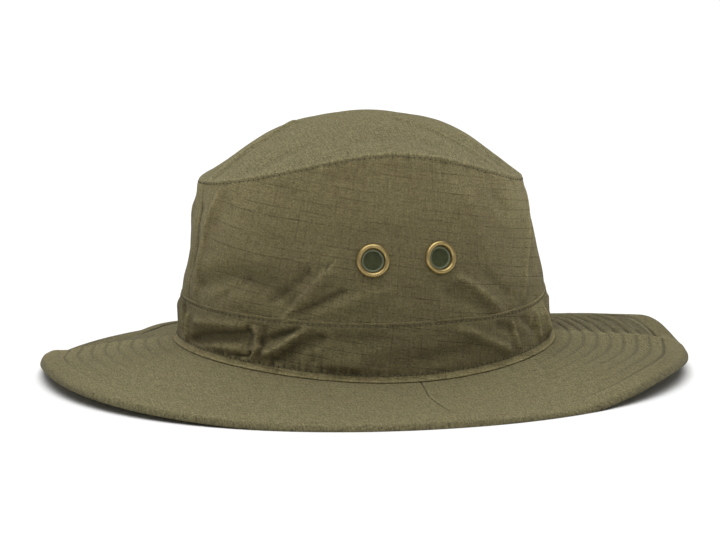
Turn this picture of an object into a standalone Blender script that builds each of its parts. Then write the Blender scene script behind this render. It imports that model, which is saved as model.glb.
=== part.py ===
"""A wide-brimmed boonie hat, sewn from flat cloth panels, with two screened vents in each side.

The hat stands on its brim on the plane Z = 0. +Z is up, the front is towards -Y and the wearer's left
is +X. The origin is under the middle of the hat. Angles run from the left side through the back, so
0 is left, 90 is the back, 180 is right and 270 is the front.

A cloth panel is an open grid that follows the shape of the sewn hat, given its thickness by Solidify.
Its outer face is the one that shows, and the panel's rows run upwards or inwards, so that the
thickness always goes to the inside.
"""

import math

import bpy
import bmesh
from mathutils import Vector

MM = 0.001

# The crown, measured over the hat band at the brim seam.
CROWN_HALF_LENGTH = 102.5 * MM
CROWN_HALF_WIDTH = 85.5 * MM
OVAL_POWER = 2.15
SEAM_HEIGHT = 17.4 * MM
SEAM_SIDE_DIP = 9.5 * MM

# The crown's top seam is higher at the sides than at the front and back.
TOP_SEAM_AT_ENDS = 84.8 * MM
TOP_SEAM_AT_SIDES = 104.8 * MM
TOP_SEAM_BACK_DIP = 2.5 * MM
# Where the top seam is pulled up or down: the angle, the rise and how many degrees it spreads.
TOP_SEAM_PULLS = ((84, 2.6 * MM, 17), (-106, -1.8 * MM, 18), (-138, -4.6 * MM, 24))
TOP_HALF_LENGTH = 88.2 * MM
TOP_HALF_WIDTH = 68.0 * MM
TOP_SHIFT_FORWARD = 2.0 * MM
TOP_APEX = 121.0 * MM
APEX_SHIFT_BACK = 8.0 * MM
DOME_POWER = 1.9
# How far the wall has closed in towards the top oval, at shares of its height.
WALL_CLOSING = ((0.0, 0.0), (0.3, 0.23), (0.62, 0.58), (0.88, 0.84), (1.0, 1.0))

# The hat band is stitched round the foot of the wall.
BAND_TOP_AT_ENDS = 25.5 * MM
BAND_TOP_AT_SIDES = 20.8 * MM

# The brim, and how far its edge hangs below its seam at each angle. Between the left and the back it
# flicks up a little, as soft cloth does.
BRIM_WIDTH = 73.0 * MM
BRIM_DROPS = (
    (0, 5.3 * MM),
    (30, 8.0 * MM),
    (55, 3.4 * MM),
    (80, 7.2 * MM),
    (95, 1.0 * MM),
    (105, 5.0 * MM),
    (120, 10.2 * MM),
    (150, 9.2 * MM),
    (180, 6.4 * MM),
    (200, 7.8 * MM),
    (216, 7.6 * MM),
    (228, 12.6 * MM),
    (248, 13.6 * MM),
    (270, 8.0 * MM),
    (300, 9.3 * MM),
    (330, 8.3 * MM),
)
STIFFENER_MARGIN = 3.0 * MM
BRIM_SHARES = (0.9, 0.8, 0.6, 0.38, 0.16)

# Cloth.
CLOTH = 0.6 * MM
TAPE = 0.5 * MM
GAP = 0.35 * MM
LAYER = CLOTH + GAP
SEAM_ALLOWANCE = 7.0 * MM
SWEATBAND_HEIGHT = 32.0 * MM
SWEATBAND = 0.8 * MM
SEAM_TAPE_WIDTH = 11.0 * MM
LABEL_WIDTH = 34.0 * MM
LABEL_HEIGHT = 16.0 * MM

BRIM_DEPTH = 2 * LAYER + CLOTH

# Insets of each layer's outer face from the crown's outer surface, in the order that they are sewn.
WALL_INSET = LAYER
UPPER_BRIM_INSET = 2 * LAYER
LOWER_BRIM_INSET = 3 * LAYER
SWEATBAND_INSET = 4 * LAYER
LABEL_INSET = SWEATBAND_INSET + SWEATBAND + 2 * GAP
CROWN_TAPE_INSET = 3 * LAYER + GAP
SEAM_TAPE_INSET = WALL_INSET + LAYER + GAP

# Vents.
VENT_ANGLES = (-11.5, 15.0)
VENT_HEIGHT = 52.0 * MM
EYELET_RADIUS = 8.6 * MM
BARREL_RADIUS = 6.4 * MM
BARREL_BORE = 6.0 * MM
BARREL_LENGTH = 2.3 * MM
FLANGE_HEIGHT = 1.6 * MM
WASHER_RADIUS = 8.3 * MM
WASHER_TOP = -1.35 * MM
WASHER_THICKNESS = 0.45 * MM
SCREEN_RADIUS = 5.65 * MM
SCREEN_RIM = 0.75 * MM

RING_STEPS = 48
TURN_STEPS = 20


def smooth_curve(points, x):
    """A smooth curve through (x, y) points, level in between where its neighbours ask for it."""
    count = len(points)
    index = 0
    while index < count - 2 and x > points[index + 1][0]:
        index += 1
    (x1, y1), (x2, y2) = points[index], points[index + 1]
    x0, y0 = points[index - 1] if index else (x1, y1)
    x3, y3 = points[index + 2] if index + 2 < count else (x2, y2)
    slope1 = (y2 - y0) / (x2 - x0)
    slope2 = (y3 - y1) / (x3 - x1)
    width = x2 - x1
    t = min(max((x - x1) / width, 0.0), 1.0)
    return (
        y1 * (2 * t**3 - 3 * t**2 + 1)
        + slope1 * width * (t**3 - 2 * t**2 + t)
        + y2 * (3 * t**2 - 2 * t**3)
        + slope2 * width * (t**3 - t**2)
    )


def oval(theta, half_length, half_width):
    """The point of a slightly squared oval in the direction theta, and its outward normal."""
    along_x = abs(math.cos(theta) / half_width)
    along_y = abs(math.sin(theta) / half_length)
    radius = (along_x**OVAL_POWER + along_y**OVAL_POWER) ** (-1 / OVAL_POWER)
    point = Vector((radius * math.cos(theta), radius * math.sin(theta), 0))
    normal = Vector(
        (
            math.copysign(along_x ** (OVAL_POWER - 1) / half_width, math.cos(theta)),
            math.copysign(along_y ** (OVAL_POWER - 1) / half_length, math.sin(theta)),
            0,
        )
    )
    return point, normal.normalized()


def sidewards(theta):
    """1 at the two sides of the hat and 0 at the front and the back."""
    return math.cos(theta) ** 2


def brim_seam_height(theta):
    return SEAM_HEIGHT - SEAM_SIDE_DIP * sidewards(theta)


def top_seam_height(theta):
    rise = (TOP_SEAM_AT_SIDES - TOP_SEAM_AT_ENDS) * sidewards(theta)
    for angle, pull, spread in TOP_SEAM_PULLS:
        turn = (math.degrees(theta) - angle + 180) % 360 - 180
        rise += pull * math.exp(-((turn / spread) ** 2))
    return SEAM_HEIGHT + TOP_SEAM_AT_ENDS + rise - TOP_SEAM_BACK_DIP * math.sin(theta)


def band_top_height(theta):
    fall = (BAND_TOP_AT_ENDS - BAND_TOP_AT_SIDES) * sidewards(theta)
    return SEAM_HEIGHT + BAND_TOP_AT_ENDS - fall


def crown_point(theta, height, inset):
    """A point on the crown at a height above the ground, inset from its outer surface."""
    low, high = brim_seam_height(theta), top_seam_height(theta)
    closing = smooth_curve(WALL_CLOSING, (height - low) / (high - low))
    half_length = CROWN_HALF_LENGTH + closing * (TOP_HALF_LENGTH - CROWN_HALF_LENGTH)
    half_width = CROWN_HALF_WIDTH + closing * (TOP_HALF_WIDTH - CROWN_HALF_WIDTH)
    point, normal = oval(theta, half_length, half_width)
    forward = Vector((0, -TOP_SHIFT_FORWARD * closing, height))
    return point - normal * inset + forward


def crown_normal(theta, height):
    """The crown's outward normal."""
    step = 0.01
    along = crown_point(theta + step, height, 0) - crown_point(theta - step, height, 0)
    up = crown_point(theta, height + MM, 0) - crown_point(theta, height - MM, 0)
    return along.cross(up).normalized()


def brim_drop(theta):
    """How far the brim's edge hangs below its seam."""
    before = [(angle - 360, drop) for angle, drop in BRIM_DROPS[-2:]]
    after = [(angle + 360, drop) for angle, drop in BRIM_DROPS[:2]]
    return smooth_curve((*before, *BRIM_DROPS, *after), math.degrees(theta) % 360)


def brim_point(theta, share, sink, inset=WALL_INSET):
    """A point on the brim, a share of the way from its seam to its edge, sunk below its upper face.

    Where the brim reaches the ground, it lies flat on it.
    """
    seam = crown_point(theta, brim_seam_height(theta), inset)
    outward = oval(theta, CROWN_HALF_LENGTH, CROWN_HALF_WIDTH)[1]
    drop = brim_drop(theta)
    level = math.sqrt(BRIM_WIDTH**2 - drop**2)
    point = seam + outward * (level * share + inset) - Vector((0, 0, drop * share))
    point.z = max(point.z, BRIM_DEPTH) - sink
    return point


def tip_point(theta, share):
    """A point on the oval top panel, a share of the way from the middle to the seam."""
    rim = crown_point(theta, top_seam_height(theta), 0)
    middle = Vector((0, APEX_SHIFT_BACK - TOP_SHIFT_FORWARD, 0))
    flat = middle.lerp(Vector((rim.x, rim.y, 0)), share)
    apex = SEAM_HEIGHT + TOP_APEX
    rise = (apex - rim.z) * (1 - share**DOME_POWER)
    return Vector((flat.x, flat.y, rim.z + rise))


def ring(steps=RING_STEPS):
    return [2 * math.pi * i / steps for i in range(steps)]


def arc(start, end, margin, steps):
    """Angles in degrees made radians, from start to end, less a margin in metres at each end."""
    first = math.radians(start) + margin / CROWN_HALF_WIDTH
    last = math.radians(end) - margin / CROWN_HALF_WIDTH
    return [first + (last - first) * i / steps for i in range(steps + 1)]


def material(name, colour, roughness, metallic=0.0):
    made = bpy.data.materials.new(name)
    made.use_nodes = True
    shader = made.node_tree.nodes["Principled BSDF"]
    shader.inputs["Base Color"].default_value = (*colour, 1)
    shader.inputs["Roughness"].default_value = roughness
    shader.inputs["Metallic"].default_value = metallic
    return made


def add_object(name, mesh, look):
    mesh.materials.append(look)
    made = bpy.data.objects.new(name, mesh)
    bpy.data.collections["boonie_hat"].objects.link(made)
    return made


def cloth_panel(name, rows, thickness, look, closed=False, middle=None):
    """A panel through rows of points, with its outer face as modelled and its thickness inside it.

    A closed panel joins its last column to its first. A middle is one point that closes the last row.
    """
    mesh = bmesh.new()
    grid = [[mesh.verts.new(point) for point in row] for row in rows]
    columns = len(grid[0])
    spans = columns if closed else columns - 1
    for lower, upper in zip(grid, grid[1:]):
        for i in range(spans):
            j = (i + 1) % columns
            mesh.faces.new((lower[i], lower[j], upper[j], upper[i]))
    if middle is not None:
        centre = mesh.verts.new(middle)
        for i in range(spans):
            mesh.faces.new((grid[-1][i], grid[-1][(i + 1) % columns], centre))
    data = bpy.data.meshes.new(name)
    mesh.to_mesh(data)
    mesh.free()
    data.shade_smooth()
    panel = add_object(name, data, look)
    solidify = panel.modifiers.new("thickness", "SOLIDIFY")
    solidify.thickness = thickness
    solidify.offset = -1
    solidify.use_even_offset = True
    return panel


def turned(name, profile, look, ring_profile, place, axis):
    """A turned piece from (radius, height) points that run down its outer side, set on an axis."""
    mesh = bmesh.new()
    verts = [mesh.verts.new((radius, 0, height)) for radius, height in profile]
    for first, second in zip(verts, verts[1:]):
        mesh.edges.new((first, second))
    if ring_profile:
        mesh.edges.new((verts[-1], verts[0]))
    data = bpy.data.meshes.new(name)
    mesh.to_mesh(data)
    mesh.free()
    piece = add_object(name, data, look)
    screw = piece.modifiers.new("turn", "SCREW")
    screw.steps = TURN_STEPS
    screw.render_steps = TURN_STEPS
    screw.use_merge_vertices = True
    screw.merge_threshold = 0.00005
    screw.use_smooth_shade = True
    piece.location = place
    piece.rotation_mode = "QUATERNION"
    piece.rotation_quaternion = Vector((0, 0, 1)).rotation_difference(axis)
    return piece


def cylinder_cutter(name, radius, depth, place, axis):
    bpy.ops.mesh.primitive_cylinder_add(vertices=TURN_STEPS, radius=radius, depth=depth, location=place)
    cutter = bpy.context.active_object
    cutter.rotation_mode = "QUATERNION"
    cutter.rotation_quaternion = Vector((0, 0, 1)).rotation_difference(axis)
    cutter.name = name
    cutter.hide_render = True
    cutter.display_type = "WIRE"
    for collection in list(cutter.users_collection):
        collection.objects.unlink(cutter)
    bpy.data.collections["cutters"].objects.link(cutter)
    return cutter


def cut(piece, cutter):
    boolean = piece.modifiers.new(cutter.name, "BOOLEAN")
    boolean.operation = "DIFFERENCE"
    boolean.solver = "EXACT"
    boolean.object = cutter


def crown_rows(angles, heights, inset):
    """Rows of points on the crown, for functions of the angle that give each row's height."""
    return [[crown_point(a, height(a), inset) for a in angles] for height in heights]


def between(low, high, shares):
    """Height functions at shares of the way from one height function to another."""
    return [lambda a, s=s: low(a) + s * (high(a) - low(a)) for s in shares]


def make_crown_top(look):
    """The oval tip, with its seam allowance turned down inside the wall."""
    angles = ring()
    allowance = WALL_INSET + LAYER
    rows = [
        [crown_point(a, top_seam_height(a) - SEAM_ALLOWANCE, allowance) for a in angles],
        [crown_point(a, top_seam_height(a) - 0.8 * MM, allowance) for a in angles],
    ]
    rim_lift = Vector((0, 0, 1.0 * MM))
    for share in (1.0, 0.8, 0.6, 0.4, 0.2):
        rows.append([tip_point(a, share) + rim_lift for a in angles])
    cloth_panel("crown_top", rows, CLOTH, look, closed=True, middle=tip_point(0, 0) + rim_lift)


def make_side_wall(name, start, end, vents, look):
    """Half of the crown's wall, from inside the hat band up to the top seam, with its vent holes."""
    angles = arc(start, end, GAP / 2, RING_STEPS // 2)
    low = lambda a: brim_seam_height(a) + 2 * MM
    high = lambda a: top_seam_height(a) - 1.9 * MM
    rows = crown_rows(angles, between(low, high, (0, 0.2, 0.35, 0.5, 0.65, 0.8, 0.92, 1)), WALL_INSET)
    wall = cloth_panel(name, rows, CLOTH, look)
    for number, (place, axis) in enumerate(vents, 1):
        hole = cylinder_cutter(f"{name}_hole_{number}", BARREL_RADIUS + GAP, 12 * MM, place, axis)
        cut(wall, hole)


def make_hat_band(look):
    """The applied band, from just above the brim to its stitched top edge."""
    low = lambda a: brim_seam_height(a) + 1.3 * MM
    rows = crown_rows(ring(), between(low, band_top_height, (0, 0.33, 0.66, 1)), 0)
    cloth_panel("hat_band", rows, CLOTH, look, closed=True)


def brim_panel_rows(angles, sink, inset, allowance_top):
    """Rows from the brim's edge in to its seam, then up the seam allowance inside the crown."""
    rows = [[brim_point(a, share, sink) for a in angles] for share in (1, *BRIM_SHARES)]
    rows.append([brim_point(a, 0.02, sink) for a in angles])
    corner = 1.2 * MM - 0.85 * sink
    rows.append([crown_point(a, brim_seam_height(a) + corner, inset) for a in angles])
    rows.append([crown_point(a, brim_seam_height(a) + allowance_top, inset) for a in angles])
    return rows


def make_brim(cloth_look, stiffener_look):
    """The brim's front and back halves, each an upper panel, a stiffener and a lower panel."""
    depth = 2 * LAYER
    for name, start, end in (("front", 180, 360), ("back", 0, 180)):
        angles = arc(start, end, GAP / 2, RING_STEPS // 2)
        upper = brim_panel_rows(angles, 0, UPPER_BRIM_INSET, SEAM_ALLOWANCE)
        turned_edge = [brim_point(a, 1, depth - GAP) for a in angles]
        cloth_panel(f"brim_upper_{name}", [turned_edge, *upper], CLOTH, cloth_look)

        shares = (1 - STIFFENER_MARGIN / BRIM_WIDTH, *BRIM_SHARES, 0.04)
        stiffener = [[brim_point(a, share, LAYER) for a in angles] for share in shares]
        cloth_panel(f"brim_stiffener_{name}", stiffener, CLOTH, stiffener_look)

        lower = brim_panel_rows(angles, depth, LOWER_BRIM_INSET, SEAM_ALLOWANCE - 1 * MM)
        cloth_panel(f"brim_lower_{name}", lower, CLOTH, cloth_look)


def make_sweatband(look):
    """The soft band that rests on the forehead, sewn in with the brim seam."""
    low = lambda a: brim_seam_height(a) + 0.5 * MM
    high = lambda a: brim_seam_height(a) + SWEATBAND_HEIGHT
    rows = crown_rows(ring(), between(low, high, (0, 0.5, 1)), SWEATBAND_INSET)
    cloth_panel("sweatband", rows, SWEATBAND, look, closed=True)


def make_size_label(look):
    """A blank woven label, stitched to the sweatband at the back."""
    half_angle = LABEL_WIDTH / 2 / CROWN_HALF_LENGTH
    angles = [math.pi / 2 + half_angle * (2 * i / 6 - 1) for i in range(7)]
    low = lambda a: brim_seam_height(a) + 8 * MM
    high = lambda a: brim_seam_height(a) + 8 * MM + LABEL_HEIGHT
    cloth_panel("size_label", crown_rows(angles, (low, high), LABEL_INSET), TAPE, look)


def make_seam_tapes(look):
    """Tape over the raw edges of the crown's top seam, and over the wall's front and back seams."""
    crown_high = lambda a: top_seam_height(a) - 2.5 * MM
    crown_low = lambda a: crown_high(a) - SEAM_TAPE_WIDTH
    rows = crown_rows(ring(), (crown_low, crown_high), CROWN_TAPE_INSET)
    cloth_panel("crown_seam_tape", rows, TAPE, look, closed=True)

    half_angle = SEAM_TAPE_WIDTH / 2 / CROWN_HALF_WIDTH
    for name, centre in (("front_seam_tape", 1.5 * math.pi), ("back_seam_tape", 0.5 * math.pi)):
        angles = [centre - half_angle, centre, centre + half_angle]
        low = lambda a: brim_seam_height(a) + SEAM_ALLOWANCE + 1.5 * MM
        high = lambda a: top_seam_height(a) - SEAM_ALLOWANCE - 1.5 * MM
        heights = between(low, high, (0, 0.25, 0.5, 0.75, 1))
        cloth_panel(name, crown_rows(angles, heights, SEAM_TAPE_INSET), TAPE, look)


def eyelet_profile():
    """The flange outside the cloth, the barrel through it and the lip rolled over the washer."""
    lip = WASHER_TOP - WASHER_THICKNESS - GAP
    flange = [
        (BARREL_BORE + 0.1 * MM, 0.9 * MM),
        (BARREL_BORE + 0.6 * MM, FLANGE_HEIGHT - 0.2 * MM),
        (EYELET_RADIUS - 1.3 * MM, FLANGE_HEIGHT),
        (EYELET_RADIUS - 0.5 * MM, FLANGE_HEIGHT - 0.25 * MM),
        (EYELET_RADIUS, 0.9 * MM),
        (EYELET_RADIUS, GAP),
        (BARREL_RADIUS, GAP),
    ]
    rolled = [
        (BARREL_RADIUS, lip),
        (EYELET_RADIUS - 1.2 * MM, lip),
        (EYELET_RADIUS - 1.2 * MM, lip - 0.4 * MM),
        (BARREL_BORE, lip - 0.4 * MM),
    ]
    return flange + rolled


def washer_profile():
    inner = BARREL_RADIUS + GAP
    bottom = WASHER_TOP - WASHER_THICKNESS
    return [(inner, WASHER_TOP), (WASHER_RADIUS, WASHER_TOP), (WASHER_RADIUS, bottom), (inner, bottom)]


def screen_profile():
    """A fine mesh disc in a rim that presses into the eyelet's barrel."""
    inside = SCREEN_RADIUS - SCREEN_RIM
    disc_top, disc_bottom = -1.3 * MM, -1.7 * MM
    rim_top, rim_bottom = -0.7 * MM, -BARREL_LENGTH
    return [
        (0, disc_top),
        (inside, disc_top),
        (inside, rim_top),
        (SCREEN_RADIUS, rim_top),
        (SCREEN_RADIUS, rim_bottom),
        (inside, rim_bottom),
        (inside, disc_bottom),
        (0, disc_bottom),
    ]


def vent_places(mirrored):
    """Where each vent of one side sits on the wall, and which way it points."""
    places = []
    for degrees in VENT_ANGLES:
        theta = math.radians(180 - degrees if mirrored else degrees)
        height = SEAM_HEIGHT + VENT_HEIGHT
        axis = crown_normal(theta, height)
        places.append((crown_point(theta, height, WALL_INSET), axis))
    return places


def make_vents(side, places, eyelet_look, washer_look, screen_look):
    for end, (place, axis) in zip(("front", "back"), places):
        turned(f"eyelet_{side}_{end}", eyelet_profile(), eyelet_look, True, place, axis)
        turned(f"washer_{side}_{end}", washer_profile(), washer_look, True, place, axis)
        turned(f"vent_screen_{side}_{end}", screen_profile(), screen_look, False, place, axis)


def clear_scene():
    for obj in list(bpy.data.objects):
        bpy.data.objects.remove(obj)
    for name in ("boonie_hat", "cutters"):
        bpy.context.scene.collection.children.link(bpy.data.collections.new(name))


def main():
    clear_scene()
    ripstop = material("olive_ripstop", (0.150, 0.135, 0.075), 0.85)
    canvas = material("olive_canvas", (0.185, 0.165, 0.095), 0.85)
    interlining = material("interlining", (0.62, 0.60, 0.54), 0.9)
    twill = material("sweatband_twill", (0.105, 0.100, 0.060), 0.9)
    tape = material("seam_tape", (0.120, 0.112, 0.066), 0.85)
    woven_label = material("label", (0.60, 0.58, 0.50), 0.8)
    brass = material("antique_brass", (0.55, 0.40, 0.18), 0.35, 1.0)
    green_metal = material("green_mesh", (0.045, 0.060, 0.040), 0.5, 0.3)

    left, right = vent_places(False), vent_places(True)
    make_crown_top(canvas)
    make_side_wall("side_wall_left", -90, 90, left, ripstop)
    make_side_wall("side_wall_right", 90, 270, right, ripstop)
    make_hat_band(ripstop)
    make_brim(canvas, interlining)
    make_sweatband(twill)
    make_size_label(woven_label)
    make_seam_tapes(tape)
    make_vents("left", left, brass, brass, green_metal)
    make_vents("right", right, brass, brass, green_metal)


main()
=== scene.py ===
"""The look of a boonie hat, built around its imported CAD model.

Lengths are in millimetres until a mesh is made. Angles run from the hat's left side through its back:
0 is left, 90 is the back, 180 is right and 270, or -90, is the front. Heights are above the ground.
"""

import math

import bmesh
import bpy
import numpy as np
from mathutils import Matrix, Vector


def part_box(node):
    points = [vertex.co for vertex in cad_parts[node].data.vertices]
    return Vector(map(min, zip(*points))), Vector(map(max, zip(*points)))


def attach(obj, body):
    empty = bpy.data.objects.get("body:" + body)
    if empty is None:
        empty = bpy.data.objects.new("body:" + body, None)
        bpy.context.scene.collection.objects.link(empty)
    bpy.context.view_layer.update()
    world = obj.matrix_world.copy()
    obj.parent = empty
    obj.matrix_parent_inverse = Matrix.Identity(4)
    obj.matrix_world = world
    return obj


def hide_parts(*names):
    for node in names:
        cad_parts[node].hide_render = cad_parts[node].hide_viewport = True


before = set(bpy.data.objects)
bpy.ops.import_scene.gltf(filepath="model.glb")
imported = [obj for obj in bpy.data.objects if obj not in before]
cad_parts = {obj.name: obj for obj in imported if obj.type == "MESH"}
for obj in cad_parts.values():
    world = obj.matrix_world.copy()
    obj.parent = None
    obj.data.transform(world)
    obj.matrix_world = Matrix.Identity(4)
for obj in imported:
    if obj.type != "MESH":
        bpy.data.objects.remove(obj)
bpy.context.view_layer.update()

MM = 0.001


def node_box(name):
    """A CAD node's lowest and highest corners, in millimetres."""
    low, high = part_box(name)
    return np.array(low) / MM, np.array(high) / MM


# The crown: half-axes, heights above its lowest seam, and insets from its outer surface.
CROWN_LENGTH = 102.5
CROWN_WIDTH = 85.5
OVAL_POWER = 2.15
SEAM_Z = 17.4
SEAM_DIP = 9.5
TOP_AT_ENDS = 84.8
TOP_AT_SIDES = 104.8
TOP_BACK_DIP = 2.5
TOP_LENGTH = 88.2
TOP_WIDTH = 68.0
TOP_FORWARD = 2.0
APEX = 121.0
APEX_BACK = 8.0
DOME_POWER = 1.9
WALL_CLOSING = ((0.0, 0.0), (0.3, 0.23), (0.62, 0.58), (0.88, 0.84), (1.0, 1.0))
BAND_AT_ENDS = 25.5
BAND_AT_SIDES = 20.8
BAND_FOOT = 0.2
WALL_BELOW_BAND = 8
WALL_INSET = 0.95

# Distances of the rows of stitches from the seams and the edge that they follow.
SEAM_ROW = 1.0
FOOT_ROW = 3.4
TOP_ROW = 1.8
END_ROW = 5.2

# Radii that turn an angle into a length: for noise, anywhere, at the vents, and at the front and back.
NOISE_RADIUS = 90
MEAN_RADIUS = 88
VENT_RADIUS = 82
END_RADIUS = 98

# The hole in the cloth at each vent.
VENT_HOLE = 6.9

# The brim. Its drops are by angle in degrees, and its side seam's angle is by distance.
BRIM_WIDTH = 73.0
BRIM_DEPTH = 2.5
EDGE_ROLL = 3.0
BRIM_DROPS = (
    (0, 5.3), (30, 8.0), (55, 3.4), (80, 7.2), (95, 1.0), (105, 5.0), (120, 10.2), (150, 9.2),
    (180, 6.4), (200, 7.8), (216, 7.6), (228, 12.6), (248, 13.6), (270, 8.0), (300, 9.3), (330, 8.3),
)
SIDE_SEAM = ((-3, 3.4), (0, 3.1), (13, 1.9), (26, 0.4), (40, 0.7), (58, 2.0), (76, 3.5))
HEM = 13.0
ROW_PITCH = 7.2
ROWS = tuple(BRIM_WIDTH - HEM - ROW_PITCH * i for i in range(8))

# The inside: the sweatband and the tape under the crown's top seam.
SWEAT_INSET = 3.9
SWEAT_THICK = 0.75
SWEAT_HEIGHT = 32.5
TAPE_INSET = 3.15
TAPE_THICK = 0.45


# Shape functions


def smooth_curve(points, x):
    """A smooth curve through (x, y) points."""
    xs, ys = np.array(points, float).T
    slopes = np.empty_like(ys)
    slopes[1:-1] = (ys[2:] - ys[:-2]) / (xs[2:] - xs[:-2])
    slopes[0] = (ys[1] - ys[0]) / (xs[1] - xs[0])
    slopes[-1] = (ys[-1] - ys[-2]) / (xs[-1] - xs[-2])
    i = np.clip(np.searchsorted(xs, x, "right") - 1, 0, len(xs) - 2)
    width = xs[i + 1] - xs[i]
    t = np.clip((x - xs[i]) / width, 0, 1)
    return (
        ys[i] * (2 * t**3 - 3 * t**2 + 1)
        + slopes[i] * width * (t**3 - 2 * t**2 + t)
        + ys[i + 1] * (3 * t**2 - 2 * t**3)
        + slopes[i + 1] * width * (t**3 - t**2)
    )


def step(x, start, end):
    """0 before start, 1 after end and smooth between."""
    t = np.clip((x - start) / (end - start), 0, 1)
    return t * t * (3 - 2 * t)


def decay(x, reach):
    """1 until x is 0, and then falling away."""
    return np.exp(-np.maximum(x, 0) / reach)


def bell(x, width):
    """1 where x is 0, and falling away on both sides."""
    return np.exp(-((x / width) ** 2))


def turn_between(theta, start):
    """How far round theta is from start, in radians, the short way."""
    return (theta - start + math.pi) % (2 * math.pi) - math.pi


def degrees_from(theta, place):
    """How far round theta is from a place in degrees, the short way, in degrees."""
    return np.degrees(turn_between(theta, math.radians(place)))


def near_to(theta, place, width):
    """1 at a place in degrees round the hat, and falling away over a width in degrees."""
    return bell(degrees_from(theta, place), width)


def full_turn(count):
    """The angles of a closed ring of points."""
    return np.arange(count) / count * 2 * math.pi


def unit(vectors):
    """The same directions, at a length of 1."""
    return vectors / np.maximum(np.linalg.norm(vectors, axis=-1, keepdims=True), 1e-9)


def noise(p, seed):
    """Smooth value noise from about -1 to 1, one cycle or so to each unit of p."""
    cell = np.floor(p).astype(np.int64)
    f = p - cell
    f = f * f * f * (f * (f * 6 - 15) + 10)
    total = 0
    for corner in np.ndindex(2, 2, 2):
        x, y, z = np.moveaxis(cell + corner, -1, 0)
        n = x * 73856093 ^ y * 19349663 ^ z * 83492791
        n = (n ^ (seed * 7919 + 101)) & 0x7FFFFFFF
        n = ((n ^ (n >> 13)) * 1274126177) & 0x7FFFFFFF
        n = ((n ^ (n >> 16)) * 668265263) & 0x7FFFFFFF
        share = np.where(corner, f, 1 - f).prod(-1)
        total = total + share * (((n >> 8) & 0xFFFF) / 32767.5 - 1)
    return total


def lumps(p, scale, seed):
    """Noise whose lumps are about scale millimetres, with some at half that."""
    return (noise(p * (1 / scale), seed) + 0.5 * noise(p * (2 / scale), seed + 1)) / 1.6


def ridges(p, scale, crest, floor, seed):
    """Sharp crests, as where cloth was crumpled."""
    return np.maximum(crest - 3 * np.abs(lumps(p, scale, seed)), floor)


def gathers(p, coarse, fine, share, seed):
    """The small puckers by a seam, as two sizes of noise."""
    return noise(p / coarse, seed) + share * noise(p / fine, seed + 1)


def along(theta, z=0):
    """A coordinate to take noise at on the crown, whose X and Y follow the wall round."""
    return np.stack([NOISE_RADIUS * np.cos(theta), NOISE_RADIUS * np.sin(theta), z + 0 * theta], -1)


def oval(theta, half_length, half_width):
    """The points of an oval of the crown, and its outward normals."""
    x, y = np.cos(theta) / half_width, np.sin(theta) / half_length
    ax, ay = np.abs(x), np.abs(y)
    radius = (ax**OVAL_POWER + ay**OVAL_POWER) ** (-1 / OVAL_POWER)
    nx = np.sign(x) * ax ** (OVAL_POWER - 1) / half_width
    ny = np.sign(y) * ay ** (OVAL_POWER - 1) / half_length
    size = np.hypot(nx, ny)
    flat = np.zeros_like(size)
    return (
        np.stack([radius * np.cos(theta), radius * np.sin(theta), flat], -1),
        np.stack([nx / size, ny / size, flat], -1),
    )


def seam_height(theta):
    """The height of the seam where the crown meets the brim."""
    return SEAM_Z - SEAM_DIP * np.cos(theta) ** 2


def top_height(theta):
    """The height of the seam round the crown's oval top."""
    rise = (TOP_AT_SIDES - TOP_AT_ENDS) * np.cos(theta) ** 2
    pull = 2.6 * near_to(theta, 84, 17) - 1.8 * near_to(theta, -106, 18) - 4.6 * near_to(theta, -138, 24)
    return SEAM_Z + TOP_AT_ENDS + rise - TOP_BACK_DIP * np.sin(theta) + pull


def band_height(theta):
    """The height of the band's folded edge."""
    back = np.sin(theta)
    swing = 2.0 * step(back, 0.88, 1.0) - 1.2 * step(back, 0.3, 0.55) * (1 - step(back, 0.75, 0.95))
    return SEAM_Z + BAND_AT_ENDS - (BAND_AT_ENDS - BAND_AT_SIDES) * np.cos(theta) ** 2 + swing


def crown(theta, z, inset):
    """A point of the crown, inset from its outer surface, with no wrinkles."""
    low, high = seam_height(theta), top_height(theta)
    closing = smooth_curve(WALL_CLOSING, (z - low) / (high - low))
    point, normal = oval(
        theta,
        CROWN_LENGTH + closing * (TOP_LENGTH - CROWN_LENGTH),
        CROWN_WIDTH + closing * (TOP_WIDTH - CROWN_WIDTH),
    )
    point = point - normal * np.asarray(inset)[..., None]
    point[..., 1] -= TOP_FORWARD * closing
    point[..., 2] = z
    return point


def folds(theta, z, table):
    """The height of listed folds. Each is its points, as (degrees, height), then its rise in
    millimetres and its widths to its left and right, or one width for both."""
    total, to_mm = 0, 1.6
    s = ((np.degrees(theta) + 180) % 360 - 180) * to_mm
    for points, rise, *widths in table:
        best, side = np.full(np.shape(s), 1e9), np.ones(np.shape(s))
        pts = [(p[0] * to_mm, p[1]) for p in points]
        if len(pts) == 1:
            pts.append((pts[0][0], pts[0][1] + 0.1))
        for (ax, ay), (bx, by) in zip(pts, pts[1:]):
            dx, dy = bx - ax, by - ay
            t = np.clip(((s - ax) * dx + (z - ay) * dy) / (dx * dx + dy * dy), 0, 1)
            ex, ey = s - ax - t * dx, z - ay - t * dy
            distance = np.hypot(ex, ey)
            nearer = distance < best
            side = np.where(nearer, np.sign(dx * ey - dy * ex), side)
            best = np.where(nearer, distance, best)
        total = total + rise * bell(best, np.where(side > 0, widths[0], widths[-1]))
    return total


def other_side(table, turn, share):
    """The same folds on the hat's other side, a little moved and softer."""
    return [
        ([(180 - a + turn, z) for a, z in points], rise * share, *widths[::-1])
        for points, rise, *widths in table
    ]


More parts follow.
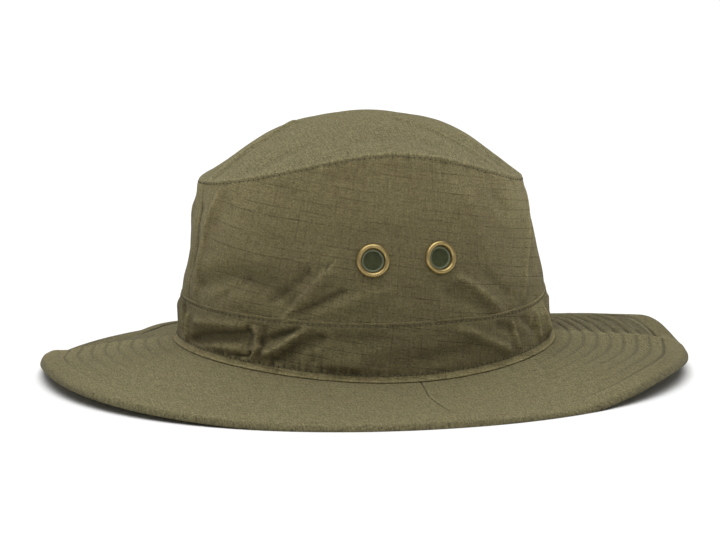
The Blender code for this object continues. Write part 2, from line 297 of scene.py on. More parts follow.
WALL_FOLDS = [
    ([(-81, 42), (-80.5, 64), (-78.5, 85), (-73.5, 103)], 1.7, 1.5, 2.2),
    ([(-87, 60), (-85, 90)], -0.9, 3.2),
    ([(-71, 98), (-73, 84)], -0.7, 3),
    ([(50, 44), (56, 61), (66, 80), (74, 96)], 1.3, 2.4, 1.6),
    ([(57, 46), (66, 68), (78, 88)], -0.9, 4),
    ([(-43, 40), (-38, 50), (-34, 57), (-30, 64)], 2.8, 2, 5),
    ([(-47, 49), (-40, 57), (-36, 63)], -1.8, 3.4, 2.4),
    ([(-41, 42), (-32, 48), (-24, 54)], -1.7, 2, 2.8),
    ([(-32, 42), (-22, 49), (-13, 54)], 1.3, 3, 7),
    ([(-77, 53), (-62, 60), (-48, 57), (-41, 48)], -2.2, 5.5, 4),
    ([(-78, 62), (-62, 70), (-46, 70)], 0.9, 6, 7),
    ([(-60, 47), (-52, 44)], 1.5, 7, 6),
    ([(-68, 46), (-57, 58)], -0.8, 2.5),
    ([(-36, 86), (-16, 78), (0, 82)], -0.7, 8),
    ([(-66, 82), (-44, 88)], 0.7, 7),
    ([(20, 60), (27, 54), (38, 40)], 2.2, 3, 2.6),
    ([(17, 51), (27, 44), (33, 38)], -1.7, 4.5, 4),
    ([(34, 58), (42, 48)], -1.1, 3.5),
    ([(45, 97), (48, 90)], -1.5, 5),
    ([(30, 100), (33, 84)], 0.6, 4),
    ([(19.2, 121), (19.6, 111)], -0.8, 1, 1.5),
    ([(17.4, 121), (17.7, 110)], 0.8, 1.8, 1),
    ([(-70, 99), (-67, 93)], -1.4, 4, 5),
    ([(-47, 107), (-43, 104)], -1.4, 5),
    ([(-60, 104)], 0.8, 4),
    ([(-30, 112), (-20, 114)], -0.8, 5, 4),
    ([(0, 52), (8, 46)], -0.8, 6),
    ([(84, 84), (92, 60), (104, 44)], 1.4, 4, 5),
    ([(100, 80), (112, 58)], -1.4, 5),
    ([(-100, 88), (-112, 60), (-108, 44)], 1.5, 4, 5),
]
WALL_FOLDS += other_side(WALL_FOLDS[:27], 6, 0.75)


# These heights are shares of the way out from the middle, times TIP_REACH.
TIP_REACH = 80
TIP_FOLDS = [
    ([(-84, 80), (-85, 66), (-88, 52), (-96, 38)], 1.3, 3, 4.5),
    ([(-60, 72), (-50, 58)], -0.8, 6),
    ([(-92, 74), (-96, 50)], -0.9, 6, 7),
    ([(18, 30), (34, 42), (44, 60), (52, 78)], 0.9, 3, 5),
    ([(30, 34), (48, 50), (60, 70)], -0.7, 4, 5),
    ([(70, 82), (68, 66), (60, 50)], 0.8, 3, 4),
    ([(-20, 60), (4, 58), (24, 66)], -0.5, 6),
    ([(110, 80), (112, 50)], 0.9, 4, 5),
    ([(150, 70), (170, 40)], 0.6, 5),
    ([(200, 70), (215, 36)], -0.7, 5),
    ([(232, 80), (226, 48)], 0.9, 4, 5),
]


BAND_FOLDS = [
    ([(-79, 22), (-74, 25.5), (-68, 28), (-60, 29.5), (-55, 31)], -3.4, 2.8, 3.4),
    ([(-77, 33), (-68, 35.5), (-56, 36)], 1.3, 3, 3.5),
    ([(-90, 37), (-88, 30), (-87, 25)], -3.0, 3.2),
    ([(-84, 34), (-83, 22)], 1.4, 2, 2.4),
    ([(-66, 23), (-58, 23.5)], 1.3, 3),
    ([(-52, 35), (-51, 26), (-53, 19)], 1.3, 1.3, 2),
    ([(-55, 35), (-54.5, 26)], -0.8, 1.6),
    ([(-61, 19.3), (-54, 20), (-53.4, 22)], -1.7, 0.9, 1),
    ([(-49, 36), (-49.5, 26)], -0.9, 1.8),
    ([(-48, 22.5), (-42, 28), (-36, 37)], 2.0, 2, 2.4),
    ([(-50, 28), (-44, 32), (-38, 35.5)], -2.4, 2, 1.8),
    ([(-44, 19), (-37, 27), (-31, 31)], -1.9, 2.8, 3.4),
    ([(-34, 34), (-33, 20)], -0.5, 1.8),
    ([(-27, 19), (-20, 18)], 1.3, 5),
    ([(-24, 32), (-10, 30)], -0.9, 5),
    ([(-10, 27), (8, 24)], 0.5, 6),
    ([(5, 20), (22, 22)], -0.8, 4),
    ([(20, 34), (30, 26), (38, 20)], 1.3, 2.6, 3.4),
    ([(36, 33), (41, 29)], -1.3, 3.6, 3.2),
    ([(42, 32), (43.5, 20)], 0.9, 1.5, 2),
    ([(48, 33), (52, 27)], -0.9, 3),
    ([(55, 38), (56.5, 22)], 1.0, 1.4, 2),
    ([(62, 38), (64, 22)], 1.1, 1.6, 2.2),
    ([(68, 38), (70, 24)], -0.6, 1.8),
    ([(80, 36), (86, 22)], 1.1, 3, 4),
    ([(104, 34), (98, 24)], -1.3, 4),
    ([(-104, 36), (-110, 24)], 1.3, 4),
    ([(60, 33), (63, 25)], 1.1, 6),
]
BAND_FOLDS += other_side(BAND_FOLDS[:23], -4, 0.75)


# Where the band's deepest hollows lie in shade, in the same form.
BAND_SHADE = [
    ([(-78, 25), (-73, 28), (-65, 30), (-57, 30.5)], 1.0, 3.5),
    ([(-92, 35), (-88, 27)], 0.8, 3.5),
    ([(-44, 20), (-38, 27), (-33, 31)], 0.6, 2.5, 3.5),
]
BAND_SHADE += other_side(BAND_SHADE, -4, 0.75)


# These heights are distances out from the brim's seam.
BRIM_FOLDS = [
    ([(47, 5), (42, 17), (37, 30)], -0.55, 1.6, 2.2),
    ([(43, 8), (38, 22)], 0.35, 2.5),
    ([(35, 6), (33, 22)], -0.45, 1.6, 2),
    ([(54, 3), (52, 14)], -0.45, 1.3, 1.8),
    ([(60, 2), (63, 10)], 0.4, 1.6),
    ([(27, 3), (26, 14)], -0.3, 1.5, 2),
    ([(18, 2), (19, 11)], -0.2, 1.5, 2),
    ([(-42.6, 40), (-42.8, 63)], -0.35, 0.9, 1.4),
    ([(-30, 4), (-27, 16)], -0.25, 2),
    ([(-52, 4), (-47, 18)], -0.25, 2.5, 2),
    ([(112, 4), (118, 30)], -0.5, 3),
    ([(-128, 5), (-124, 24)], -0.4, 2.5, 2),
]
BRIM_FOLDS += other_side(BRIM_FOLDS[:10], 3, 1.0)


def vent_places():
    """Each vent's name, the way that it faces, and its angle and height, from the CAD's eyelets."""
    places = {}
    for name in ("left_front", "left_back", "right_front", "right_back"):
        x, y, z = sum(node_box(f"eyelet_{name}")) / 2
        theta = math.atan2(y, x)
        around = crown(np.array([theta + 0.01, theta - 0.01]), np.array([z, z]), 0)
        upward = crown(np.array([theta, theta]), np.array([z + 1, z - 1]), 0)
        axis = unit(np.cross(around[0] - around[1], upward[0] - upward[1]))
        places[name] = (axis, theta, z)
    return places


VENTS = vent_places()


def clear_of_vents(theta, z):
    """1 well away from every vent and 0 where an eyelet grips the cloth."""
    clear = 1
    for _, at, height in VENTS.values():
        distance = np.hypot(turn_between(theta, at) * VENT_RADIUS, z - height)
        clear = clear * step(distance, 8.5, 17)
    return clear


def wall(theta, z):
    """The outside of the side wall, with its folds."""
    p = along(theta, z)
    under_seam, over_band = top_height(theta) - z, z - band_height(theta)
    wave = folds(theta, z, WALL_FOLDS)
    wave += 1.1 * lumps(p, 42, 3)
    wave += 0.4 * lumps(p, 14, 5)
    wave += 0.55 * ridges(p, 33, 0.8, -0.6, 7)
    wave *= step(under_seam, -1, 16) * (0.35 + 0.65 * step(over_band, -2, 10))
    pucker = gathers(along(theta), 6.0, 3.2, 0.6, 11)
    wave += 0.5 * pucker * decay(under_seam - 1.5, 6) * step(under_seam, 0, 2.5)
    wave += 0.3 * pucker * decay(over_band, 5)
    wave *= clear_of_vents(theta, z)
    wave += 0.1 * bell(under_seam - 3.4, 1.6) - 0.04 * bell(under_seam - SEAM_ROW, 0.6)
    for seam in (90, 270):
        across = turn_between(theta, math.radians(seam)) * END_RADIUS
        wave += 0.22 * bell(across - 3, 1.6) - 0.5 * bell(across, 0.8) - 0.3 * bell(across - END_ROW, 0.7)
    behind_band = 2.1 * step(-over_band, 0.8, 5)
    return crown(theta, z, WALL_INSET + 0.1 * step(under_seam, 1, 5) + behind_band - wave)


def band(theta, v):
    """The hat band: v runs from 0 at its foot to 1 at its folded top edge."""
    low, high = seam_height(theta) + BAND_FOOT, band_height(theta)
    z = low + v * (high - low)
    rise, fall = z - low, high - z
    p = along(theta, z)
    wave = 1.45 * folds(theta, z, BAND_FOLDS) * step(fall, 0.5, 9) * step(rise, 3, 8)
    wave += 0.6 * lumps(p, 24, 21) * step(fall, 0, 8) * step(rise, 2, 9)
    wave += 0.4 * ridges(p, 20, 0.8, -0.5, 24) * step(fall, 0, 6) * step(rise, 3, 8)
    pucker = gathers(along(theta), 3.4, 1.9, 0.7, 22)
    gathered = 0.3 + 0.7 * near_to(theta, -40, 22)
    wave += 0.95 * gathered * pucker * decay(rise - 4, 4.5) * step(rise, 1.4, 4.0)
    wave += 0.22 * pucker * decay(fall - TOP_ROW, 4) * step(fall, 0, 2.5)
    wave += 1.8 * np.clip(1 - rise / 3.1, 0, 1) ** 1.15 - 0.12 * bell(rise - FOOT_ROW, 0.6)
    wave += 0.1 * bell(fall - 0.5, 0.7) - 0.25 * bell(fall - TOP_ROW, 0.6)
    hollow = np.maximum(-wave - 1.2, 0)
    wave = np.maximum(wave, -1.2) - 1.5 * np.tanh(hollow / 2.4)
    return crown(theta, z, 0.42 - wave)


def brim_drop(theta):
    """How far the brim's edge lies below its seam."""
    table = [(a - 360, d) for a, d in BRIM_DROPS[-2:]] + list(BRIM_DROPS)
    table += [(a + 360, d) for a, d in BRIM_DROPS[:2]]
    return smooth_curve(table, np.degrees(theta) % 360)


def side_seam(d):
    """The angle in degrees of the left side seam of the brim, d millimetres out."""
    return smooth_curve(SIDE_SEAM, d)


def quilting(theta):
    """How deeply the stitch rows sink, by angle: deep by the two creases, faint at the sides."""
    creases = np.maximum(near_to(theta, 84, 34), near_to(theta, -112, 27))
    return 0.1 + np.maximum(creases, 0.5 * step(np.abs(degrees_from(theta, 0)), 100, 130))


def back_panel(theta, start, end, fade):
    """1 on the brim's far panel: it starts by the back crease and fades out by the right side."""
    return step(degrees_from(theta, 79), start, end) * (1 - step(degrees_from(theta, 150), -fade, 0))


def brim_relief(theta, d, upper):
    """The quilting and the creases of the brim, d millimetres out from its seam."""
    radius = MEAN_RADIUS + d
    p = np.stack([radius * np.cos(theta), radius * np.sin(theta), 0 * theta * d], -1)
    deep, beyond, outer = quilting(theta), back_panel(theta, -1, 6, 40), step(d, 50, 55)
    inside = step(d, 3, 8) * (1 - step(d, ROWS[0] - 0.4, ROWS[0] + 0.6))
    puffy = deep * (1 + 3.4 * beyond * (1 - outer)) * (1 - 0.6 * beyond * outer)
    between_rows = (d - ROWS[-1]) / ROW_PITCH % 1
    relief = 0.34 * puffy * np.sin(math.pi * between_rows**0.8) * inside
    pull = gathers(p, 3.6, 1.9, 0.6, 31)
    for row in ROWS:
        groove = 0.42 * (1 + 1.6 * beyond) if row == ROWS[0] else 0.26
        relief -= groove * (0.04 + 0.96 * deep) * bell(d - row, 0.7) * (1 + 0.3 * pull)
        relief += 0.09 * (0.5 + deep) * pull * bell(d - row, 2.4)
    relief += 0.05 * pull * inside
    relief += (0.8 - 0.5 * near_to(theta, -106, 26)) * step(d, ROWS[0], ROWS[0] + 2.8)
    relief += 0.55 * lumps(p, 40, 33) * step(d, 0, 20)
    relief += 0.12 * lumps(p, 9, 34)
    pleats = noise(along(theta) / 5.5, seed=35)
    relief += 0.3 * (0.4 + deep) * pleats * decay(d - 1, 7) * step(d, 0.3, 3)
    if not upper:
        return relief
    hem_fade = 1 - 0.75 * step(d, 60, 73)
    # The two creases, each a sharp crest that drifts round the brim on its way out.
    for place, rise, reach, drift in ((77, 5.0, 11, 0), (-104, 3.0, 10, -0.12)):
        away = turn_between(theta, math.radians(place)) * radius - drift * d
        crest = np.exp(-(np.sqrt(away**2 + 0.8) - math.sqrt(0.8)) / reach) - 0.3 * bell(away, 40)
        relief += rise * crest * step(d, -4, 42) * hem_fade
    relief -= 1.4 * near_to(theta, 93, 8) * step(d, 8, 40) * hem_fade
    relief -= 2.0 * near_to(theta, -122, 12) * step(d, 10, 40) * hem_fade
    relief -= 1.6 * near_to(theta, -127, 14) * step(d, 40, 60)
    relief += 2.9 * near_to(theta, -102, 11) * step(d, 62, 71)
    relief += folds(theta, d, BRIM_FOLDS)
    for degrees in (side_seam(d), 180 - side_seam(d)):
        away = turn_between(theta, np.radians(degrees)) * radius
        relief += (1 - step(d, 46, 62)) * (0.12 * bell(away, 2.6) - 0.5 * bell(away, 0.7))
    return relief


def brim(theta, d, upper):
    """A point of the brim's upper or lower face, d millimetres out from its seam."""
    seam, outward = oval(theta, CROWN_LENGTH, CROWN_WIDTH)
    drop = brim_drop(theta)
    level = np.sqrt(BRIM_WIDTH**2 - drop**2)
    share = d / BRIM_WIDTH
    point = seam + outward * (level * share)[..., None]
    z = np.maximum(seam_height(theta) - drop * share, BRIM_DEPTH)
    roll = np.clip((d - BRIM_WIDTH + EDGE_ROLL) / EDGE_ROLL, 0, 1)
    turned = 1 - np.sqrt(1 - roll**2)
    relief = brim_relief(theta, d, upper) * (1 - 0.6 * roll**2)
    if upper:
        droop = 1.1 * step(d, BRIM_WIDTH - 9, BRIM_WIDTH + 2)
        point[..., 2] = z + np.maximum(relief, -1.6) - 0.8 * BRIM_DEPTH * turned - droop
        point[..., 2] = np.maximum(point[..., 2], 0.25 * BRIM_DEPTH)
    else:
        point[..., 2] = np.maximum(z - BRIM_DEPTH + 0.35 - 0.7 * relief + 0.2 * BRIM_DEPTH * turned, 0)
    return point


def tip(theta, share):
    """The crown's oval top, a share of the way from its middle to its seam."""
    rim = crown(theta, top_height(theta), 0)
    middle = np.array([0, APEX_BACK - TOP_FORWARD, 0])
    point = middle + (rim - middle) * share
    left, right = near_to(theta, -112, 48), near_to(theta, 60, 50)
    profile = 1 - share**DOME_POWER - left * 0.045 * bell(share - 0.9, 0.12)
    profile += left * 0.08 * bell(share - 0.5, 0.25)
    profile += right * 0.05 * bell(share - 0.5, 0.2)
    point[..., 2] = rim[..., 2] + (SEAM_Z + APEX - rim[..., 2]) * profile + 0.15
    p = point * (1, 1, 0)
    wave = 0.7 * lumps(p, 46, 41) + 0.25 * lumps(p, 12, 42)
    wave += 0.35 * ridges(p, 36, 1, -0.5, 44)
    wave += 1.6 * folds(theta, share * TIP_REACH, TIP_FOLDS)
    pucker = noise(along(theta) / 5.0, seed=43)
    rim_share = step(share, 0.86, 0.97) * (1 - step(share, 0.99, 1.0))
    point[..., 2] += wave * (1 - step(share, 0.88, 1.0)) + 0.3 * pucker * rim_share
    return point


# Meshes


def make_mesh(name, points, faces, uv=None, tone=None, material=None, smooth=True):
    """A mesh object from points in millimetres and faces, all triangles or all quads."""
    points, faces = np.asarray(points, float).reshape(-1, 3), np.asarray(faces, np.int32)
    mesh = bpy.data.meshes.new(name)
    mesh.from_pydata((points * MM).tolist(), [], faces.tolist())
    if uv is not None:
        layer = mesh.uv_layers.new(name="grain")
        layer.data.foreach_set("uv", np.asarray(uv, np.float32).ravel())
    if tone is not None:
        attribute = mesh.attributes.new("tone", "FLOAT", "POINT")
        attribute.data.foreach_set("value", np.asarray(tone, np.float32).ravel())
    mesh.update()
    if smooth:
        mesh.shade_smooth()
    made = bpy.data.objects.new(name, mesh)
    bpy.context.scene.collection.objects.link(made)
    if material:
        mesh.materials.append(material)
    return made


def grid_faces(rows, columns, closed):
    """The quads of a grid of points, and the row and the column of each."""
    across = np.arange(columns if closed else columns - 1)
    r, c = np.meshgrid(np.arange(rows - 1), across, indexing="ij")
    after = (c + 1) % columns
    quads = [r * columns + c, r * columns + after, (r + 1) * columns + after, (r + 1) * columns + c]
    return np.stack(quads, -1).reshape(-1, 4), r, c


def grid_piece(name, points, uv, material, thickness, closed=False, tone=None, keep=None):
    """A piece of cloth from a grid of points (rows, columns, 3), with UVs (rows, columns, 2) in metres.

    A closed grid's UVs have one more column than its points. keep says which faces stay.
    """
    rows, columns = points.shape[:2]
    faces, r, c = grid_faces(rows, columns, closed)
    corner_uv = np.stack([uv[r, c], uv[r, c + 1], uv[r + 1, c + 1], uv[r + 1, c]], -2).reshape(-1, 4, 2)
    if keep is not None:
        stay = keep[r, c].reshape(-1)
        faces, corner_uv = faces[stay], corner_uv[stay]
    flat = points.reshape(-1, 3)
    tones = np.ones(len(flat)) if tone is None else tone.reshape(-1)
    used = np.unique(faces)
    renumber = np.zeros(len(flat), np.int64)
    renumber[used] = np.arange(len(used))
    made = make_mesh(name, flat[used], renumber[faces], corner_uv, tones[used], material)
    solid = made.modifiers.new("thickness", "SOLIDIFY")
    solid.thickness = thickness * MM
    solid.offset = -1
    solid.use_even_offset = False
    return made


def wrap(points):
    """A closed grid of points with its first column again after its last."""
    return np.append(points, points[:, :1], 1)


def run_along(points):
    """How far each point is along its line, from the first. A grid's lines run up its columns."""
    steps = np.linalg.norm(np.diff(points, axis=0), axis=-1)
    return np.append(np.zeros_like(steps[:1]), np.cumsum(steps, 0), 0)


def metric_uv(points, closed):
    """UVs in metres that follow a grid: U along its middle row and V up its columns."""
    grid = wrap(points) if closed else points
    u, v = run_along(grid[len(grid) // 2]), run_along(grid)
    return np.stack([np.broadcast_to(u - u.mean(), v.shape), v], -1) * MM


def wall_uv(theta, z, degrees):
    """UVs in metres round and up the crown, as if it had no wrinkles, turned a little."""
    u, v = theta * MEAN_RADIUS * MM, z * MM
    c, s = math.cos(math.radians(degrees)), math.sin(math.radians(degrees))
    return np.stack([c * u - s * v, s * u + c * v], -1)


def flat_uv(points, closed):
    """UVs in metres straight down from above, for panels that lie about flat."""
    return (wrap(points) if closed else points)[..., :2] * MM


def painted_cavity_shade(points, closed, strength):
    """Painted shade in hollows and a painted highlight on crests, from how far each point stands off its
    neighbourhood.
    """
    normal = unit(np.cross(np.gradient(points, axis=1), np.gradient(points, axis=0)))
    smooth, tone = points, np.ones(points.shape[:2])
    for passes, depth in ((3, 0.2), (25, 0.9)):
        for _ in range(passes):
            side, up = smooth.copy(), smooth.copy()
            if closed:
                side = (np.roll(smooth, 1, 1) + np.roll(smooth, -1, 1)) / 2
            else:
                side[:, 1:-1] = (smooth[:, 2:] + smooth[:, :-2]) / 2
            up[1:-1] = (smooth[2:] + smooth[:-2]) / 2
            smooth = (side + up) / 2
        proud = ((points - smooth) * normal).sum(-1) / depth
        tone += strength * np.clip(proud, -1.2, 0.8)
    return np.maximum(tone, 0.5)


# Thread


def tube_faces(rings):
    """The faces of a tube of six-sided rings, with its ends closed."""
    last = (rings - 1) * 6
    near_end = [[0, 3, 2, 1], [0, 5, 4, 3]]
    far_end = [[last, last + 1, last + 2, last + 3], [last, last + 3, last + 4, last + 5]]
    return np.concatenate([grid_faces(rings, 6, True)[0], near_end, far_end])


def joined_piece(name, parts, material):
    """Many small parts as one piece. Each part is its points, its faces and its tones."""
    starts = np.cumsum([0] + [len(points) for points, _, _ in parts])
    points = np.concatenate([part[0] for part in parts])
    faces = np.concatenate([part[1] + start for part, start in zip(parts, starts)])
    tones = np.concatenate([part[2] for part in parts])
    return make_mesh(name, points, faces, np.zeros((len(faces), 4, 2)), tones, material)


def stitches(points, normals, pitch, length, radius, closed=True, seed=0, hole=0.1, flare=1.15):
    """One row of stitches along a line: (points, faces, tones). Each is a short thread that dives in at
    both ends. The hole is the painted shade of those ends, and the flare is how much thicker they are."""
    if closed:
        points, normals = np.append(points, points[:1], 0), np.append(normals, normals[:1], 0)
    run = run_along(points)
    count = max(int(run[-1] / pitch), 1)
    rng = np.random.default_rng(seed)
    centres = (np.arange(count) + 0.5) * (run[-1] / count) + rng.normal(0, 0.06, count)
    part = np.array([-0.5, -0.33, 0.0, 0.33, 0.5])
    at = (centres[:, None] + part * length).clip(0, run[-1])

    def sample(values, where):
        return np.stack([np.interp(where, run, column) for column in values.T], -1)

    spot, up = sample(points, at), unit(sample(normals, at))
    way = unit(sample(points, np.minimum(at + 0.2, run[-1])) - sample(points, np.maximum(at - 0.2, 0)))
    side = unit(np.cross(up, way))
    lean = rng.normal(0, 0.05, (count, 1, 1)) * part[:, None] * 2
    arch = radius * (0.45 - 1.6 * part**2 * flare)
    centre = spot + up * arch[:, None] + side * lean
    thick = radius * np.array([flare, 1.0, 1.0, 1.0, flare])[:, None, None]
    angle = full_turn(6)[:, None]
    ring = centre[:, :, None] + thick * (np.cos(angle) * side[:, :, None] + np.sin(angle) * up[:, :, None])
    faces = tube_faces(5)[:, [0, 3, 2, 1]] + np.arange(count)[:, None, None] * 30
    if np.ndim(hole):
        hole = np.interp(centres, run, np.append(hole, hole[0]))[:, None]
    # Painted shade at both ends of each stitch, where it sinks into its needle hole.
    painted_pit_shade = hole + (1 - hole) * np.repeat([0, 0.9, 1, 0.9, 0], 6)
    tones = (1 + rng.normal(0, 0.08, (count, 1))) * painted_pit_shade
    return ring.reshape(-1, 3), faces.reshape(-1, 4), tones.reshape(-1)


def surface_line(surface, theta, other, rise=0.4):
    """Points along a surface function of two values, and the outward normals there."""
    a = surface(theta + 0.01, other) - surface(theta - 0.01, other)
    b = surface(theta, other + rise) - surface(theta, other - rise)
    return surface(theta, other), unit(np.cross(a, b))


# Turned pieces


def place_on(points, middle, axis):
    """Local points, whose Z is out of the wall, set on the wall."""
    across = unit(np.cross([0, 0, 1], axis))
    up = np.cross(axis, across)
    return middle + points[..., :1] * across + points[..., 1:2] * up + points[..., 2:] * axis


def rounded(points, radius):
    """A closed profile with its corners rounded."""
    points, made = np.array(points, float), []
    for before, p, after in zip(np.roll(points, 1, 0), points, np.roll(points, -1, 0)):
        a, b = before - p, after - p
        reach = min(radius, np.linalg.norm(a) * 0.45, np.linalg.norm(b) * 0.45)
        start, end = p + unit(a) * reach, p + unit(b) * reach
        for t in np.linspace(0, 1, 4):
            made.append((1 - t) ** 2 * start + 2 * t * (1 - t) * p + t * t * end)
    return made


def lathe(name, profile, middle, axis, material, segments, uneven=0.0, seed=0):
    """A ring turned from a closed profile of (radius, height)."""
    angle = full_turn(segments)
    radius, height = np.array(profile, float).T[..., None]
    points = np.stack([radius * np.cos(angle), radius * np.sin(angle), height + 0 * angle], -1)
    if uneven:
        points[..., 2] += noise(points / 3.0 + seed * 7.3, seed) * uneven
    points = place_on(points, middle, axis)
    faces, r, c = grid_faces(len(profile) + 1, segments, True)
    faces = faces % (len(profile) * segments)
    uv = (np.stack([c, r], -1).reshape(-1, 1, 2) + [(0, 0), (1, 0), (1, 1), (0, 1)]) * MM
    return make_mesh(name, points, faces[:, ::-1], uv[:, ::-1], np.ones(points.shape[:2]), material)


def wire_screen(name, radius, pitch, wire, depth, middle, axis, material):
    """A woven wire mesh, clipped to a disc, as one piece."""
    parts, count, angle = [], int(radius / pitch), full_turn(6)
    for way in (0, 1):
        for i in range(-count, count + 1):
            off = i * pitch
            reach = math.sqrt(max(radius**2 - off**2, 0))
            rings = max(int(2 * reach / (pitch / 3)), 2) + 1
            run = np.linspace(-reach, reach, rings)
            lift = wire * 0.95 * np.cos(math.pi * run / pitch) * (1 if (i + way) % 2 else -1)
            centre = np.stack([run, np.full_like(run, off), depth + lift], -1)
            ring = centre[:, None] + wire * np.stack([0 * angle, np.cos(angle), np.sin(angle)], -1)
            faces = tube_faces(rings)
            if way:
                ring = ring[..., [1, 0, 2]]
            else:
                faces = faces[:, ::-1]
            parts.append((place_on(ring.reshape(-1, 3), middle, axis), faces, np.ones(rings * 6)))
    return joined_piece(name, parts, material)


# Materials. The yarn's size is in metres, as the UVs are.
YARN = 0.00055


class Nodes:
    """A small helper to wire shader nodes. Its methods return an output."""

    def __init__(self, name):
        self.material = bpy.data.materials.new(name)
        self.material.use_nodes = True
        self.tree = self.material.node_tree
        self.shader = self.tree.nodes["Principled BSDF"]

    def put(self, node, inputs):
        """Sets a node's inputs, each to a value or from another node's output."""
        for key, value in inputs.items():
            if hasattr(value, "links"):
                self.tree.links.new(value, node.inputs[key])
            else:
                node.inputs[key].default_value = value

    def out(self, kind, inputs, output=0, **settings):
        """The output of a new node."""
        node = self.tree.nodes.new("ShaderNode" + kind)
        for key, value in settings.items():
            setattr(node, key, value)
        self.put(node, inputs)
        return node.outputs[output]

    def math(self, operation, *values):
        return self.out("Math", dict(enumerate(values)), operation=operation)

    def plus(self, a, b):
        return self.math("ADD", a, b)

    def times(self, a, b):
        return self.math("MULTIPLY", a, b)

    def noise(self, vector, scale, detail=2.0, roughness=0.5):
        inputs = {"Vector": vector, "Scale": scale, "Detail": detail, "Roughness": roughness}
        return self.out("TexNoise", inputs)

    def streaks(self, vector, scale, detail, roughness):
        """Noise with its own scale each way."""
        stretched = self.out("Mapping", {"Vector": vector, "Scale": scale})
        return self.noise(stretched, 1.0, detail, roughness)

    def range(self, value, low, high, to_low, to_high):
        limits = {"From Min": low, "From Max": high, "To Min": to_low, "To Max": to_high}
        return self.out("MapRange", {"Value": value, **limits})

    def mix(self, share, a, b):
        return self.out("Mix", {0: share, 6: (*a, 1), 7: (*b, 1)}, 2, data_type="RGBA")

    def scaled(self, colour, by):
        return self.out("VectorMath", {0: colour, "Scale": by}, operation="SCALE")

    def toned(self, colour):
        """The colour times the mesh's tone, where 1 is no change. The tone carries painted shade and light
        too.
        """
        return self.scaled(colour, self.out("Attribute", {}, "Fac", attribute_name="tone"))

    def bump(self, height, distance, strength):
        return self.out("Bump", {"Distance": distance, "Strength": strength, "Height": height})


def cloth_material(name, colour, brown, contrast=1.0, ripstop=0.0, twill=False):
    """Woven cotton: yarns both ways, slubs, a faint mottle and, if asked, a ripstop grid."""
    n = Nodes(name)
    uv = n.out("UVMap", {}, uv_map="grain")
    u, v = (n.out("SeparateXYZ", {0: uv}, axis) for axis in (0, 1))
    base = n.mix(n.range(n.noise(uv, 34, 4, 0.6), 0.36, 0.66, 0, 1), colour, brown)
    slubs = n.plus(n.streaks(uv, (110, 1300, 1), 2, 0.6), n.streaks(uv, (1250, 130, 1), 2, 0.6))
    heather = n.streaks(uv, (800, 1150, 1), 3, 0.7)
    fine = n.plus(n.times(slubs, 0.6), n.times(heather, 1.8))
    shade = n.range(fine, 1.1, 1.9, 1 - 0.42 * contrast, 1 + 0.42 * contrast)
    coarse = n.streaks(uv, (300, 420, 1), 2, 0.6)
    shade = n.times(shade, n.range(coarse, 0.3, 0.7, 0.91, 1.09))
    if twill:
        weave = n.math("SINE", n.times(n.plus(u, v), 2 * math.pi / (YARN * 1.7)))
    else:
        weave = n.times(*(n.math("SINE", n.times(way, 2 * math.pi / YARN)) for way in (u, v)))
    height = n.plus(n.times(weave, 0.5), n.times(fine, 1.3))
    if ripstop:
        wander = n.times(n.noise(uv, 25, 2), 0.0012)
        for way, shift, depth, scale in ((v, 0.37, 0.36, (30, 190, 1)), (u, 0.0, 0.09, (190, 30, 1))):
            place = n.math("DIVIDE", n.plus(way, wander), ripstop)
            away = n.math("ABSOLUTE", n.math("SUBTRACT", n.math("FRACT", n.plus(place, shift)), 0.5))
            patchy = n.range(n.streaks(uv, scale, 3, 0.6), 0.40, 0.62, 0.1, 1)
            line = n.times(n.range(away, 0.0, 0.075, 1, 0), patchy)
            shade = n.times(shade, n.math("SUBTRACT", 1.0, n.times(line, depth)))
            height = n.plus(height, n.times(line, -2.4))
    looks = {
        "Base Color": n.scaled(n.toned(base), shade),
        "Roughness": 0.88,
        "Sheen Weight": 0.16,
        "Sheen Roughness": 0.45,
        "Sheen Tint": (0.86, 0.8, 0.58, 1),
        "Specular IOR Level": 0.12,
        "Normal": n.bump(height, 0.00016, 0.9),
    }
    n.put(n.shader, looks)
    return n.material


def thread_material(name, colour):
    n = Nodes(name)
    ply = n.noise(n.out("TexCoord", {}, "Object"), 2600, 2)
    base = n.mix(n.range(ply, 0.3, 0.7, 0, 1), [c * 0.6 for c in colour], colour)
    looks = {"Base Color": n.toned(base), "Roughness": 0.75, "Normal": n.bump(ply, 0.00008, 0.7)}
    n.put(n.shader, looks)
    return n.material


def metal_material(name, colour, dark, roughness, metallic, grime=0.5):
    """Old metal: brighter in some patches and dull and dark in others, where grime sits, by a noise cloud."""
    n = Nodes(name)
    spot = n.out("TexCoord", {}, "Object")
    cloud = n.noise(spot, 420, 4, 0.6)
    base = n.mix(n.range(cloud, 0.35, 0.68, 0, grime), colour, dark)
    looks = {
        "Base Color": n.toned(base),
        "Metallic": metallic,
        "Roughness": n.range(cloud, 0.3, 0.7, roughness, roughness + 0.16),
        "Normal": n.bump(n.noise(spot, 2200, 2), 0.00004, 0.35),
    }
    n.put(n.shader, looks)
    return n.material


CANVAS = cloth_material("canvas", (0.194, 0.172, 0.087), (0.188, 0.163, 0.083), 1.5)
CANVAS_UNDER = cloth_material("canvas_under", (0.165, 0.150, 0.084), (0.158, 0.140, 0.078))
RIPSTOP = cloth_material("ripstop", (0.188, 0.163, 0.079), (0.172, 0.142, 0.071), ripstop=0.0050)
TWILL = cloth_material("sweatband_cloth", (0.105, 0.100, 0.060), (0.098, 0.090, 0.054), twill=True)
TAPE = cloth_material("tape_cloth", (0.120, 0.112, 0.066), (0.112, 0.102, 0.060), 0.8, twill=True)
LABEL = cloth_material("label_cloth", (0.55, 0.52, 0.43), (0.50, 0.47, 0.39), 0.5)
THREAD = thread_material("thread", (0.205, 0.182, 0.094))
PALE_THREAD = thread_material("pale_thread", (0.185, 0.165, 0.088))
BRASS = metal_material("brass", (0.50, 0.375, 0.155), (0.27, 0.20, 0.09), 0.33, 0.9)
